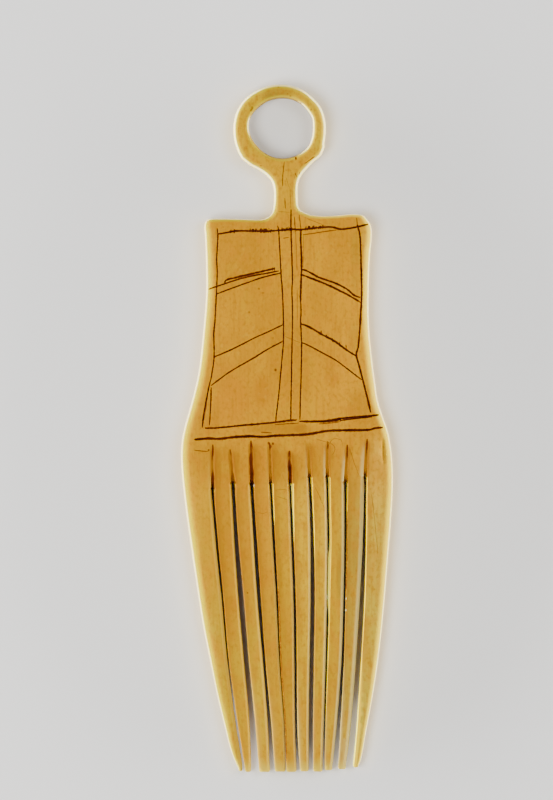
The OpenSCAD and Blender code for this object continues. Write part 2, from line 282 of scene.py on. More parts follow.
slots = [Slot(row) for row in SLOTS]
outer_edge = [(*row, WORN) for row in (*ring_edge[:-1], *left_edge)]
for number, tip in enumerate(TIPS):
    if number < len(slots):
        walls = slots[number].outline(tip, TIPS[number + 1])
    else:
        walls = [(*row, WORN) for row in right_edge]
    outer_edge += tooth_tip(outer_edge[-1], walls[0], tip) + walls
outer_edge = np.array(outer_edge[:-1])
hole_edge = np.column_stack([hole_edge, np.full(len(hole_edge), WORN)])
loops = [outer_edge, hole_edge]

# Cut lines, as they were set out on the face: a frame, three uprights down the middle, slanting pairs
# on both sides and two long lines above the teeth. A graver scored them freehand, so they are double
# where it slipped and run past their corners. All points are in millimetres.
BOLD_LINES = [
    [(-16.1, -1.95), (-13.7, -1.8), (-11.8, -1.85), (-9.7, -1.6), (-6.7, -1.4), (-4.3, -1.5), (-2, -1.3),
     (3.2, -1.1), (5.6, -0.7), (8, -0.4), (13.9, -0.3), (15.3, 0), (16.7, 0.15)],
    [(3.9, 1.2), (5.9, 1.2), (7.8, 1.3), (9.3, 1.55)],
]
PLAIN_LINES = [
    # frame: top and right
    [(-11.9, 34), (-10.4, 34.25), (-8.8, 34.5), (-6.4, 34.5), (-4.2, 34.45), (-2.65, 34.5), (-1.4, 34.6),
     (0.8, 34.8), (2.5, 34.75), (6.1, 35.15), (8.1, 35.15), (9.4, 34.8), (11.6, 35.1), (14.1, 35.65)],
    [(12.35, 35.5), (12.75, 33.6), (12.9, 30.8), (13.05, 24.2), (12.9, 20.2), (12.5, 14.65), (12.1, 12.9),
     (12.5, 11.3), (12.8, 10.2), (13.9, 5.9), (14.6, 2.9)],
    # right upright, its upper part
    [(2.45, 34.7), (2.4, 32.9), (2.55, 28.7), (2.35, 22.2)],
    # slanting pairs: upper left, upper right, lower right
    [(-10.9, 25.4), (-10.4, 26), (-6.4, 26.95), (-2.2, 27.95)],
    [(2.5, 27.75), (3.3, 27.6), (4.6, 26.95), (5.7, 26.35), (8.6, 25.3), (10.5, 24.3), (11.7, 23.3),
     (12.7, 22.9)],
    [(2.6, 26.85), (5.1, 25.9), (7.5, 24.9), (8.9, 24.2), (10.5, 23.4), (12.8, 22.05)],
    [(2.4, 18.2), (3, 18.1), (4.2, 17.55), (6.1, 16.4), (8.2, 15.3), (10.2, 13.85), (12.1, 12.6)],
    # upper of the two long lines
    [(-14.3, 0.05), (-12.4, 0.05), (-7.8, 0.5), (-2.3, 1), (0.3, 1.35), (1.6, 1.45)],
    [(2.2, 1.2), (5.9, 1.2), (9.3, 1.7), (13.6, 2.1), (16, 2.35)],
]
LIGHT_LINES = [
    # upper left, lower left and lower right slanting lines
    [(-13.7, 24.3), (-12.3, 24.8), (-9.6, 25.7), (-6.7, 26.5), (-1.5, 27.5)],
    [(-12.2, 23.5), (-10.4, 24.2), (-6.8, 25.5), (-4.2, 26.4), (-1.3, 27.1)],
    [(-0.85, 18.05), (-3.2, 16.9), (-5.7, 15.8), (-8.2, 14.5), (-11.2, 13.1), (-12.7, 12.5)],
    [(-0.85, 15.15), (-3.2, 13.9), (-6.5, 11.9), (-10.1, 9.8), (-13.2, 7.5)],
    [(2.55, 14.95), (3.3, 14.7), (4.7, 14), (6.7, 12.9), (8.7, 11.8), (10.8, 10.2), (13, 8.5)],
    # frame: left
    [(-12.2, 34.9), (-12.1, 33.4), (-12.3, 29.6), (-12.2, 27.1), (-12.35, 23.4), (-12.6, 18.9), (-12.8, 16.4),
     (-12.75, 13.9), (-12.8, 11.9), (-13.2, 9.1), (-13.55, 7.6), (-14.45, 3.2), (-14.8, 0.2)],
    # middle and left uprights, and the right one going on downwards
    [(0.7, 38.2), (0.7, 35), (0.95, 26.5), (0.85, 24.2), (0.95, 21.2), (0.95, 17.2), (0.85, 13.1),
     (0.65, 1.4)],
    [(-1.65, 35.4), (-1.45, 34.5), (-1.3, 32.2), (-1.05, 27.1), (-0.75, 22.9), (-0.6, 15.9), (-0.9, 11.9),
     (-1.4, 6.3), (-2, 1.1)],
    [(2.35, 22.6), (2.45, 20.2), (2.4, 18.2), (2.55, 14.7), (2.5, 10.2), (2.35, 5.3), (2.25, 1.55)],
    [(-13.25, 7), (-13.35, 4.1), (-13.55, 0.6)],
    [(9.3, 1.35), (12, 1.7), (14.8, 2)],
]
FINE_LINES = [
    [(1.3, 37), (1.4, 35.6), (1.5, 34.4)],
    [(2.15, 37.3), (2.45, 34.7)],
    [(2.8, 33.85), (4.5, 34.05), (6.2, 34.35), (8.6, 34.65)],
    [(-0.6, 33.25), (0.3, 33.4)],
    [(12.15, 36.8), (12.35, 35.5)],
    [(-13.55, 7.6), (-14.2, 3.6), (-14.75, 0.3)],
    [(-2.1, 0.65), (2, 0.9)],
    [(5.6, 0.75), (8.3, 1), (9.4, 1.2)],
    [(-4.5, -0.7), (-2.7, -0.8)],
    [(-16.1, -3.85), (-14, -4.05), (-13.7, -3.8)],
    [(-0.5, 46.6), (-0.75, 44), (-0.75, 42.4)],
    [(-0.4, 40.2), (-0.3, 38.5)],
    [(1.4, 44.6), (1.75, 43.9)],
    [(3, 46.2), (4.8, 47.5)],
]
# Short strokes where the graver chattered. Columns: foot of the first, step to the next, their number, height
CHATTER = [
    ((-6.4, 34.6), (0.3, 0), 4, 0.32), ((-4.7, 34.5), (0.3, 0), 7, 0.34),
    ((-0.9, 34.75), (0.35, 0.02), 5, 0.25), ((3.2, 34.95), (0.38, 0.03), 9, 0.3),
    ((-9.8, 34.45), (0.6, 0.02), 2, 0.25), ((5.9, 16.65), (1.1, -0.62), 5, 0.3),
    ((-2.6, 27.9), (0.4, 0.05), 2, 0.15),
]
CHATTER_SHIFT, CHATTER_LEAN, CHATTER_DROP = 0.08, 0.12, 0.25
CHATTER_HEIGHTS = (0.6, 1.2)
HAIR_LINES = [
    [(1.3, 36.8), (1.5, 34), (1.7, 29.7), (1.75, 27.6)],
    [(1.8, 24.2), (1.8, 18.9)],
    [(2.85, 34), (2.85, 28.1)],
    [(-0.35, 16.05), (2.25, 15)],
    [(-1.5, 37.9), (0.65, 37.75)],
    [(3.1, 36.85), (5, 36.1), (6.8, 35.4)],
    [(10.9, -3.3), (11.6, -5.6), (12.7, -8.5)],
    [(4.8, -10.1), (5.6, -11.7), (6.5, -13.9)],
    [(14.8, -11.6), (15.2, -15), (15.9, -21.8)],
    [(5.1, -1.85), (6.2, -2.2), (7.75, -2.7), (8.4, -3.5), (8.05, -4.5), (7.7, -4.8)],
    [(7.2, -3.1), (7.85, -2.05), (8.65, -1.8), (9.4, -2.05), (9.6, -2.4)],
    [(2.1, 43.6), (1.6, 42.9)],
    [(0.5, 42.3), (0.7, 38.2)],
    [(-0.1, 43.8), (0.3, 42.3)],
    [(-5.1, -14.75), (-4.2, -14.9), (-3.4, -14.6)],
    [(-2, -10.8), (-0.6, -10.7), (0.2, -10.95)],
    [(-1.8, -11.9), (-0.5, -12.3), (0.4, -12.7)],
]
random.seed(3)
for (x, y), (step_x, step_y), number, height in CHATTER:
    for i in range(number):
        foot = x + i * step_x + random.uniform(-CHATTER_SHIFT, CHATTER_SHIFT)
        level = y + i * step_y
        lean = random.uniform(-CHATTER_LEAN, CHATTER_LEAN)
        top = level + height * random.uniform(*CHATTER_HEIGHTS)
        LIGHT_LINES.append([(foot, level - CHATTER_DROP), (foot + lean, top)])
# Walls of slots darkened by dirt and by painted shade. Columns: number of the slot, from, to, all on its
# right side
STAINED_AND_SHADED_WALLS = [(7, -14.5, -28.5), (3, -28.0, -59.0)]
WALL_STEP = 0.8
WALL_GAP = 0.1
STAIN_AND_SHADE_LINES = [
    [(float(slots[number].wall(1, y)[0]) + WALL_GAP, y) for y in np.arange(high, low, -WALL_STEP)]
    for number, high, low in STAINED_AND_SHADED_WALLS
]
# Grades of cut. Columns: half of the width, depth, raggedness of the sides, mark left for the dirt (and on
# the slot walls for dirt with painted shade), lines
GRADES = {
    "bold": (0.2, 0.14, 0.4, "cut", BOLD_LINES),
    "plain": (0.155, 0.1, 0.5, "cut", PLAIN_LINES),
    "light": (0.115, 0.07, 0.4, "cut", LIGHT_LINES),
    "fine": (0.095, 0.04, 0.4, "score", FINE_LINES),
    "hair": (0.07, 0.015, 0.3, "hair", HAIR_LINES),
    "stain": (0.12, 0.0, 0.8, "stain", STAIN_AND_SHADE_LINES),
}
LINE_STEP = 0.27
LINE_WANDER = 0.03
WANDER_PACE, WANDER_SEED = 0.8, 2.7
PRESS_START, PRESS_REACH = 0.35, 1.2
# Columns of a wave in the graver's press: strength, pace, seed
PRESS_WAVES = [(0.35, 0.35, 4.1), (0.3, 1.7, 9.3)]


def waver(path, pace, seed):
    """Uneven waves along a line, between about -1 and 1."""
    return np.array([noise.noise((x * pace, y * pace, seed)) for x, y in path])


def drawn_line(points):
    """Rows along a freehand line, place and press of the graver, and the direction across it."""
    path = smooth_path(points, LINE_STEP)
    along = np.concatenate([[0], np.cumsum(np.hypot(*np.diff(path, axis=0).T))])
    waves = 1.0
    for strength, pace, seed in PRESS_WAVES:
        waves = waves + strength * waver(path, pace, seed)
    press = np.minimum(1.0, PRESS_START + np.minimum(along, along[-1] - along) / PRESS_REACH) * waves
    ahead = np.gradient(path, axis=0)
    ahead /= np.hypot(*ahead.T)[:, None]
    across = np.column_stack([-ahead[:, 1], ahead[:, 0]])
    shake = LINE_WANDER * waver(path, WANDER_PACE, WANDER_SEED)
    return np.column_stack([path + across * shake[:, None], press]), across


drawn = {grade: [drawn_line(points) for points in lines] for grade, (*_, lines) in GRADES.items()}

# Body of the comb. It is one slice of ivory about 4 mm thick, flat on the back, a little crowned on the
# face and thinned towards the tips of the teeth. All its edges are worn round, and the saw left
# grooves in the face and in the back above the slots.
# Columns of the thickness: along, height of the back, height of the face
THICKNESS = [
    (-60.3, 0.66, 2.22), (-59.4, 0.58, 2.3), (-58, 0.45, 2.53), (-53, 0.3, 2.78), (-45, 0.1, 3.14),
    (-36, 0, 3.44), (-27, 0, 3.68), (-18, 0, 3.88), (-10.5, 0, 4), (34, 0, 4),
    (37, 0.08, 3.9), (40, 0.2, 3.8), (61, 0.2, 3.8),
]


# points measured at a time
BATCH = 500


def edge_reach(points, worn_only):
    """Distance of each point to the nearest edge, and the breadth of that edge's rounding."""
    starts = np.vstack(loops)
    ends = np.vstack([np.roll(loop, -1, axis=0) for loop in loops])
    if worn_only:
        chosen = (starts[:, 3] == WORN) & (ends[:, 3] == WORN)
        starts, ends = starts[chosen], ends[chosen]
    ahead = ends[:, :2] - starts[:, :2]
    reaches = []
    for some in np.array_split(points, len(points) // BATCH + 1):
        back = some[:, None] - starts[None, :, :2]
        part = np.clip((back * ahead).sum(axis=2) / (ahead ** 2).sum(axis=1), 0, 1)
        gap = np.hypot(*np.moveaxis(back - part[..., None] * ahead, 2, 0))
        nearest = gap.argmin(axis=1)
        rows = np.arange(len(some))
        part = part[rows, nearest]
        breadth = starts[nearest, 2] * (1 - part) + ends[nearest, 2] * part
        reaches.append(np.column_stack([gap[rows, nearest], breadth]))
    return np.vstack(reaches).T


def in_ivory(points):
    """Whether each point is inside the outline and outside the hole."""
    inside = np.zeros(len(points), dtype=bool)
    x, y = points.T
    for loop in loops:
        for (ax, ay), (bx, by) in zip(loop[:, :2], np.roll(loop[:, :2], -1, axis=0)):
            if ay != by:
                inside ^= ((ay > y) != (by > y)) & (x < ax + (y - ay) * (bx - ax) / (by - ay))
    return inside


# Columns of points across an edge: part of its breadth, length beyond that
ROUND_ROWS = [(1 - math.cos(math.radians(turn)), 0) for turn in (15, 30, 45, 60, 75, 90)]
BEVEL_ROWS = [(0, 0.06), (0, 0.16), (0.4, 0), (0.7, 0), (1, 0), (1, 0.1), (1, 0.3)]
# a point that lies nearer to any edge than this part of its own offset belongs to another edge
OWN_EDGE = 0.97
GROOVE_STEP = 0.28
GROOVE_FOOT, GROOVE_HEAD = 0.22, 0.3
# parts of a cut's half width at which points lie on its sides
LINE_OFFSETS = (0, 0.5, 1.0, 1.35, 1.9)


def edge_rows(loop, kind, steps):
    """Points along one kind of edge, at the given parts of its breadth and lengths beyond it."""
    ahead = np.roll(loop[:, :2], -1, axis=0) - np.roll(loop[:, :2], 1, axis=0)
    ahead /= np.hypot(*ahead.T)[:, None]
    inward = np.column_stack([-ahead[:, 1], ahead[:, 0]])
    own = loop[:, 3] == kind
    offsets = np.concatenate([loop[own, 2] * part + beyond for part, beyond in steps])
    rows = np.tile(loop[own, :2], (len(steps), 1)) + np.tile(inward[own], (len(steps), 1)) * offsets[:, None]
    kept = edge_reach(rows, False)[0] > OWN_EDGE * offsets
    return rows[kept & in_ivory(rows)]


def groove_rows(slot):
    """Points along the saw groove above a slot, on its bottom and both its walls."""
    rows = []
    for y in np.arange(slot.top + GROOVE_FOOT, slot.head[1] + GROOVE_HEAD, GROOVE_STEP):
        x, half = slot.middle(y), slot.width(y) / 2
        rows += [(x, y), (x - half, y), (x + half, y)]
        for side in (-1, 1):
            breadth = slot.spread(side, y)
            rows += [(x + side * (half + breadth * part + beyond), y) for part, beyond in BEVEL_ROWS]
    return np.array(rows)


def line_rows(rows, across, half):
    """Points along a cut line, on its bottom, its sides and its lips."""
    offsets = [side * part * half for part in LINE_OFFSETS for side in ((1, -1) if part else (1,))]
    return np.vstack([rows[:, :2] + across * offset for offset in offsets])


def apart(groups, gap):
    """The points of all groups, left out where they are nearer than gap to one that is already there."""
    cells = {}
    kept = []
    for x, y in np.vstack(groups):
        cell = (int(x // gap), int(y // gap))
        around = [(cell[0] + i, cell[1] + j) for i in (-1, 0, 1) for j in (-1, 0, 1)]
        near = (point for other in around for point in cells.get(other, ()))
        if all((x - a) ** 2 + (y - b) ** 2 > gap * gap for a, b in near):
            cells.setdefault(cell, []).append((x, y))
            kept.append((x, y))
    return np.array(kept)


GRAIN_STEP, GRAIN_ROW, GRAIN_SHIFT = 0.85, 0.87, 0.15


def grain_points(taken, gap):
    """Points spread over the rest of the ivory, in jittered rows."""
    random.seed(7)
    tree = kdtree.KDTree(len(taken))
    for number, (x, y) in enumerate(taken):
        tree.insert((x, y, 0), number)
    tree.balance()
    low, high = outer_edge[:, :2].min(axis=0), outer_edge[:, :2].max(axis=0)
    spread = []
    for row, y in enumerate(np.arange(low[1], high[1], GRAIN_STEP * GRAIN_ROW)):
        for x in np.arange(low[0] + (row % 2) * GRAIN_STEP / 2, high[0], GRAIN_STEP):
            place = [value + random.uniform(-GRAIN_SHIFT, GRAIN_SHIFT) for value in (x, y)]
            if tree.find((*place, 0))[2] > gap:
                spread.append(place)
    spread = np.array(spread)
    return spread[in_ivory(spread)]


def sheet(points):
    """Places and triangles over the ivory, with its edge, and the numbers of the edge's places."""
    edges = []
    first = 0
    for loop in loops:
        edges += [(first + i, first + (i + 1) % len(loop)) for i in range(len(loop))]
        first += len(loop)
    flat = np.vstack([loop[:, :2] for loop in loops] + [points])
    places, _, corners, sources, _, _ = delaunay_2d_cdt([Vector(p) for p in flat], edges, [], 0, 1e-6)
    places = np.array([tuple(p) for p in places])
    corners = np.array(corners)
    corners = corners[in_ivory(places[corners].mean(axis=1))]
    rim = {source: number for number, found in enumerate(sources) for source in found if source < first}
    return places, corners, [rim[i] for i in range(first)]


SWELL, SWELL_SIZE = 0.045, 7.0
TOOL_MARK, TOOL_MARK_SIZE = 0.012, 1.6
FACE_SEED = 11.0


def swelling(points, seed):
    """Slow waves and fine tool marks of a surface that was scraped flat by hand."""
    return np.array([
        SWELL * noise.noise((x / SWELL_SIZE, y / SWELL_SIZE, seed))
        + TOOL_MARK * noise.noise((x / TOOL_MARK_SIZE, y / (3 * TOOL_MARK_SIZE), seed + 3))
        for x, y in points
    ])


# first row of the left side and last row of the right side that lie beside the teeth
LEFT_ROW, RIGHT_ROW = 30, 12


def tooth_places(x, y):
    """Number of the tooth that each point is on, how far across it the point is, and its breadth there."""
    left = np.array(LEFT_SIDE[LEFT_ROW:])
    right = np.array(RIGHT_SIDE[:RIGHT_ROW])
    sides = np.vstack([np.interp(-y, -left[:, 1], left[:, 0])] + [slot.middle(y) for slot in slots]
                      + [np.interp(y, right[:, 1], right[:, 0])])
    tooth = np.clip((sides[1:-1] < x).sum(axis=0), 0, len(slots))
    rows = np.arange(len(x))
    breadth = sides[tooth + 1, rows] - sides[tooth, rows]
    return tooth, np.clip((x - sides[tooth, rows]) / breadth, 0, 1), breadth


# the shallow channel above a slot: half width, part of its length in which it widens, depth
CHANNEL, CHANNEL_HEAD, CHANNEL_DEPTH = 0.42, 0.1, 0.05
LEAST_CHANNEL = 0.01
# depth of a cut for the thickness, and falls of its left bevel, of a sharp edge and of the right flank
GROOVE_DEPTH = 0.47
SLOT_BEVEL, SHARP_DROP, FLANK_DROP = 0.2, 0.05, 0.5
BEVEL_CURVE = 1.7
BEVEL_FADE, FLANK_FADE = 1.3, 0.9
WALL_FALL = 0.16
# how late the groove deepens to the break-through
LATE = 14


def channel_breadth(slot, y):
    """Half width of the shallow channel above a slot, which widens from the head of the groove."""
    return CHANNEL * np.sqrt(np.clip(slot.sawn(y) / CHANNEL_HEAD, LEAST_CHANNEL, 1))


def slot_cut(slot, points, thick, face):
    """Depth of one saw cut with its bevels, and of the groove and the channel above it."""
    x, y = points.T
    sawn, gap = slot.sawn(y), x - slot.middle(y)
    beyond = np.maximum(slot.top - y, 0)
    side = np.sign(gap)
    outside = np.abs(gap) - slot.width(y) / 2
    deep = 1 - np.clip(outside / slot.spread(side, y), 0, 1)
    steep = 1 - np.clip(outside / WALL_FALL, 0, 1)
    bottom = GROOVE_DEPTH * thick
    bevel = SHARP_DROP
    if face:
        bevel = np.where(side < 0, SLOT_BEVEL, SHARP_DROP + (FLANK_DROP - SHARP_DROP) * slot.lean(y))
    end = (bottom - bevel) * np.exp(-beyond / BEVEL_FADE) * steep * (1 - FLANK_FADE * face * (side > 0))
    below = bevel * deep ** BEVEL_CURVE + end
    hollow = np.clip(1 - (gap / channel_breadth(slot, y)) ** 2, 0, 1) * np.sqrt(sawn)
    above = bottom * (CHANNEL_DEPTH * hollow + (1 - CHANNEL_DEPTH) * sawn ** LATE * steep)
    return np.where(beyond > 0, below, above)


# columns of a wave down a groove: size, pace, shift from slot to slot
SOOT_SWAY = (0.04, 1.3, 3)
SOOT_SWELL = (0.12, 2.7, 5)
SOOT_HEAD = ([0, 0.12, 0.3], [0.4, 0.75, 1])
STAIN_END = 0.3
AMBER_MIDDLE, AMBER_REACH = 0.1, 0.5
# the brown beside a slot and on the lips of its channel is painted shade
SHADE_REACH, SHADE_START = 0.8, -0.08
SHADE_ALONG = ([-50, -25, 0], [0.35, 1, 1])
LIP_BROWN, LIP_PLACE, LIP_REACH = 0.8, 0.9, 0.12
CREAM_START = -0.06
TIP_ALONG = ([-52, -38], [1, 0])
TIP_REACH = 0.4
PINCH_HIGHLIGHT = 0.3
# how fast the amber, the painted brown shade and the painted cream highlight set in down the groove, and how
# slowly the painted highlight on the flank ends
AMBER_START, BROWN_START, PALE_START, FLANK_END = 6, 5, 2, 3


def groove_wave(slot, y, size, pace, shift):
    return size * np.sin(pace * y + shift * slot.number)


def slot_stains_and_light(slot, points):
    """How strong each mark round one slot is at each point: the soot and amber, the painted brown shade, the
    painted cream highlight, and the painted highlight on its right flank.
    """
    x, y = points.T
    sawn, gap = slot.sawn(y), x - slot.middle(y)
    beyond = np.maximum(slot.top - y, 0)
    below, right = beyond > 0, gap > 0
    half, channel = slot.width(y) / 2, channel_breadth(slot, y)
    reach = slot.reach * np.interp(sawn, *SOOT_HEAD) * (1 + groove_wave(slot, y, *SOOT_SWELL))
    middle = groove_wave(slot, y, *SOOT_SWAY)
    soot = np.interp(sawn, np.linspace(0, 1, len(slot.soot)), slot.soot)
    soot = soot * np.exp(-((gap - middle) / reach) ** 4)
    amber = slot.amber * np.exp(-((gap - AMBER_MIDDLE) / AMBER_REACH) ** 4 - beyond / STAIN_END)
    # brown: painted shade on the right of the slot and the groove, and on the lips of the channel
    cut = gap - np.where(below, half, channel)
    brown = np.exp(-np.maximum(cut, 0) / SHADE_REACH) * (cut > SHADE_START) * np.interp(y, *SHADE_ALONG)
    brown *= np.where(below, slot.shades[1], slot.shades[0])
    lips = LIP_BROWN * np.exp(-((np.abs(gap) - LIP_PLACE * channel) / LIP_REACH) ** 2) * ~below
    # cream: a painted highlight on the left bevel, and by the tips
    worn = -gap - np.where(below, half, channel * LIP_PLACE)
    cream = np.clip(1 - worn / slot.left, 0, 1) * (worn > CREAM_START) * np.clip(sawn * PALE_START, 0, 1)
    tip = np.interp(y, *TIP_ALONG) * np.exp(-((gap - half) / TIP_REACH) ** 2)
    # the right flank where the saw leaned, given a painted highlight
    deep = 1 - np.clip((np.abs(gap) - half) / slot.spread(np.sign(gap), y), 0, 1)
    clear = slot.clear + PINCH_HIGHLIGHT * (slot.pinch(y) / PINCH)
    flank = clear * np.minimum(slot.lean(y) * FLANK_END, 1) * np.sqrt(deep)
    return {
        "soot": soot * (sawn > 0) * np.exp(-beyond / STAIN_END),
        "amber": amber * np.clip(sawn * AMBER_START, 0, 1),
        "brown": np.maximum(brown, lips) * np.clip(sawn * BROWN_START, 0, 1),
        "pale": np.maximum(cream * np.where(below, 1, slot.cream), TIP_CREAM[slot.number] * tip * right),
        "flank": np.maximum(flank, TIP_FLANK_HIGHLIGHT[slot.number] * tip) * (right & below),
    }


# the groove that was begun on the right, down its middle
STARTER = [(16.8, -1.6), (16.9, -4.0), (17.0, -6.4)]
STARTER_DEPTH, STARTER_BREADTH, STARTER_CURVE, STARTER_SOOT = 0.45, 0.4, 1.5, 0.33


def starter_cut(x, y):
    """How deep the begun groove is at each point, from 0 at its lips to 1."""
    across, along = np.array(STARTER).T
    reach = np.clip((along[0] - y) / (along[0] - along[-1]), 0, 1)
    gap = np.abs(x - np.interp(-y, -along, across))
    return np.clip(1 - gap / STARTER_BREADTH, 0, 1) * np.sqrt(np.abs(np.sin(math.pi * reach)))


# how far worn edges fall for their breadth, and at most for the thickness there
EDGE_DROP, THICKEST_DROP = 1.15, 0.44
EDGE_SEEN = 4.0
CROWN, CROWN_REACH = 0.18, 19.0
TOOTH_TILTS = [0.03, -0.02, 0.035, 0.02, -0.03, 0.02, -0.025, 0.03, -0.02, -0.03]
TILT_START, TILT_FULL = -6.0, -14.0


def heights(points, face):
    """Height of each point of the face or of the back, and the marks that the finish follows."""
    x, y = points.T
    along, back, front = np.array(THICKNESS).T
    back, front = np.interp(y, along, back), np.interp(y, along, front)
    thick = front - back
    gap, breadth = edge_reach(points, True)
    turn = np.clip(1 - gap / breadth, 0, 1)
    drop = np.minimum(EDGE_DROP * breadth, THICKEST_DROP * thick) * (1 - np.sqrt(1 - turn ** 2))
    marks = {"edge": np.minimum(gap / breadth, EDGE_SEEN)}
    for slot in slots:
        drop = np.hypot(drop, slot_cut(slot, points, thick, face))
        for name, values in slot_stains_and_light(slot, points).items():
            marks[name] = np.maximum(marks.get(name, 0), values)
    if face:
        deep = starter_cut(x, y)
        drop = np.hypot(drop, STARTER_DEPTH * deep ** STARTER_CURVE)
        marks["soot"] = np.maximum(marks["soot"], STARTER_SOOT * deep ** 2)
    drop = np.minimum(drop, GROOVE_DEPTH * thick)
    tooth, across, breadth = tooth_places(x, y)
    marks["tooth"], marks["across"] = tooth / len(slots), across
    if not face:
        return back + drop, marks
    crown = CROWN * np.minimum((x / CROWN_REACH) ** 2, 1)
    lift = np.array(TOOTH_TILTS)[tooth] * (across - 0.5) * breadth
    lift *= np.clip((TILT_START - y) / (TILT_START - TILT_FULL), 0, 1)
    return front - SWELL - TOOL_MARK - crown - drop + lift + swelling(points, FACE_SEED), marks


STARTER_OFFSETS = (-0.4, -0.2, 0, 0.2, 0.4)
# least gaps between points, and from a point to an edge
SHARED_GAP, CUT_GAP, FACE_GAP, BACK_GAP = 0.04, 0.045, 0.4, 0.6
SHARED_EDGE, CUT_EDGE = 0.03, 0.15
FAR_OFF = 9.0
starter_points = [(x + side, y) for x, y in smooth_path(STARTER, PATH_STEP) for side in STARTER_OFFSETS]
shared = apart(
    [groove_rows(slot) for slot in slots] + [edge_rows(loop, WORN, ROUND_ROWS) for loop in loops]
    + [edge_rows(outer_edge, SAWN, BEVEL_ROWS), np.array(starter_points)], SHARED_GAP)
shared = shared[in_ivory(shared) & (edge_reach(shared, False)[0] > SHARED_EDGE)]
cuts = [line_rows(rows, across, GRADES[grade][0]) for grade in GRADES for rows, across in drawn[grade]]
cuts = np.vstack(cuts)
cuts = cuts[in_ivory(cuts) & (edge_reach(cuts, False)[0] > CUT_EDGE)]
edge_points = np.vstack([loop[:, :2] for loop in loops])
face_taken = apart([shared, cuts], CUT_GAP)
face_grain = grain_points(np.vstack([edge_points, face_taken]), FACE_GAP)
back_grain = grain_points(np.vstack([edge_points, shared]), BACK_GAP)

face_places, face_corners, face_rim = sheet(np.vstack([face_taken, face_grain]))
back_places, back_corners, back_rim = sheet(np.vstack([shared, back_grain]))
face_heights, face_marks = heights(face_places, True)
back_heights, back_marks = heights(back_places, False)

back_first = len(face_places)
side_walls = []
first = 0
for loop in loops:
    for i in range(len(loop)):
        a, b = first + i, first + (i + 1) % len(loop)
        side_walls.append((face_rim[a], back_rim[a] + back_first, back_rim[b] + back_first, face_rim[b]))
    first += len(loop)

face_side = np.column_stack([face_places, face_heights])
back_side = np.column_stack([back_places, back_heights])
places = np.vstack([face_side, back_side]) * MM
faces = [tuple(c) for c in face_corners] + [tuple(c[::-1] + back_first) for c in back_corners] + side_walls
body_mesh = bpy.data.meshes.new("carved_comb")
body_mesh.from_pydata([tuple(p) for p in places], [], faces)
marks = {name: np.concatenate([face_marks[name], back_marks[name]]) for name in face_marks}
marks["front"] = np.concatenate([np.ones(len(face_places)), np.zeros(len(back_places))])
for name in ("cut", "score", "hair", "stain"):
    marks[name] = np.full(len(places), FAR_OFF)
for name, values in marks.items():
    body_mesh.attributes.new(name, "FLOAT", "POINT").data.foreach_set("value", values.astype(np.float32))


class Flow:
    """A value in a node tree. Sums and products of such values add the Math nodes that work them out."""

    def __init__(self, tree, socket=None):
        self.tree, self.socket = tree, socket

    def node(self, kind, settings=(), inputs=(), output=0):
        """One output of a new node, whose settings are made first, then its sockets given values or links."""
        made = self.tree.nodes.new(kind)
        for name, value in dict(settings).items():
            if name == "stops":
                for place, shade in value[1:-1]:
                    made.color_ramp.elements.new(place).color = shade
                for end in (0, -1):
                    made.color_ramp.elements[end].position, made.color_ramp.elements[end].color = value[end]
            else:
                setattr(made, name, value)
        for name, value in dict(inputs).items():
            if isinstance(value, Flow):
                self.tree.links.new(value.socket, made.inputs[name])
            elif value is not None:
                made.inputs[name].default_value = value
        return Flow(self.tree, made.outputs[output])

    def maths(self, operation, *values):
        return self.node("ShaderNodeMath", {"operation": operation}, dict(enumerate(values)))

    def vector(self, operation, *values, output=0):
        return self.node("ShaderNodeVectorMath", {"operation": operation}, dict(enumerate(values)), output)

    def __add__(self, other):
        return self.maths("ADD", self, other)

    def __sub__(self, other):
        return self.maths("SUBTRACT", self, other)

    def __rsub__(self, other):
        return self.maths("SUBTRACT", other, self)

    def __mul__(self, other):
        return self.maths("MULTIPLY", self, other)

    def __truediv__(self, other):
        return self.maths("DIVIDE", self, other)

    def __rtruediv__(self, other):
        return self.maths("DIVIDE", other, self)

    __radd__, __rmul__ = __add__, __mul__

    def least(self, other):
        return self.maths("MINIMUM", self, other)

    def most(self, other):
        return self.maths("MAXIMUM", self, other)

    def rise(self, low, high):
        """0 at low, 1 at high, and smooth between them. It falls where low is the larger."""
        if low > high:
            return 1 - self.rise(high, low)
        return self.node("ShaderNodeMapRange", {"interpolation_type": "SMOOTHSTEP"},
                         {"Value": self, "From Min": low, "From Max": high})


# The graver's cuts. For each point of the face the tree finds the nearest place on the drawn lines,
# sinks the point by a V-shaped cut as wide and deep as the line is there, and keeps its distance
# from the line, in half widths, as the mark that the dirt follows.
SOCKETS = {
    "Geometry": "Geometry", "Lines": "Object", "Mark": "String", "Half width": "Float", "Depth": "Float",
    "Raggedness": "Float", "Rag size": "Float", "Ivory": "Material",
}
# parts of a cut's half width: from dot to dot along it, and what it has without press and gains by it
DOT_STEP, LEAST_WIDTH, PRESSED_WIDTH = 0.4, 0.55, 0.45


